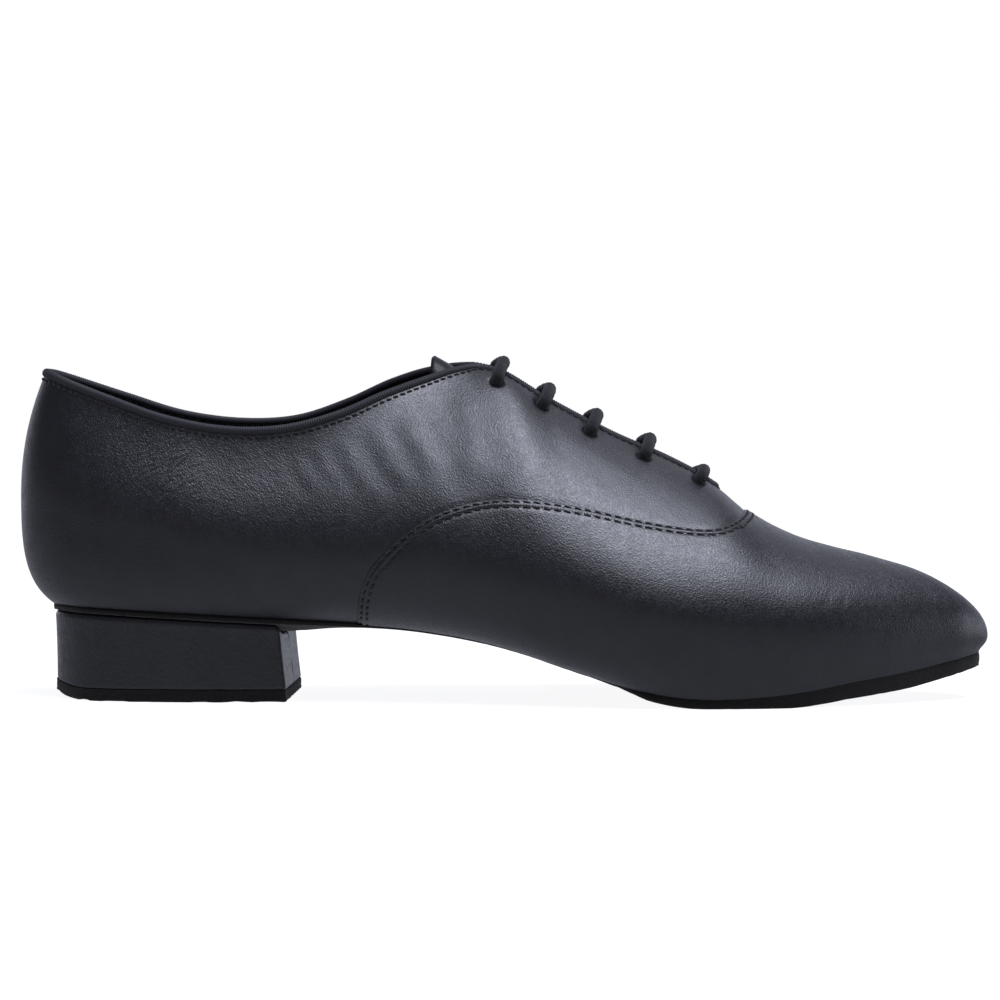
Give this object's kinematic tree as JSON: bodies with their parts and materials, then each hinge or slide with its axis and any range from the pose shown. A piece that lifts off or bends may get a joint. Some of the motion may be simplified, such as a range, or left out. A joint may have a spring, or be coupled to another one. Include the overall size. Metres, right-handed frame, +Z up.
{
  "type": "ballroom dance shoe",
  "caption": "Closed-lace leather ballroom shoe for the right foot, with a low covered heel, thin suede sole and ribbed collar binding.",
  "frame": {"origin": "on the floor, in the middle of the heel lift's flat underside", "axes": "+X from heel to toe, +Y to the inner side of the foot, +Z up"},
  "size_m": [0.2928, 0.0997, 0.1045],
  "materials": {
    "leather": "smooth full-grain, soft sheen",
    "lining": "dark woven textile",
    "suede": "black napped suede",
    "binding": "ribbed tape",
    "lace": "round woven cord"
  },
  "bodies": {
    "root": {"upper": "leather", "collar_binding": "binding", "tongue": "leather", "insole": "lining", "outsole": "suede", "heel_block": "leather", "heel_lift": "suede", "lace_bar_1": "lace", "lace_bar_2": "lace", "lace_bar_3": "lace", "lace_bar_4": "lace", "lace_bar_5": "lace"}
  },
  "joints": []
}
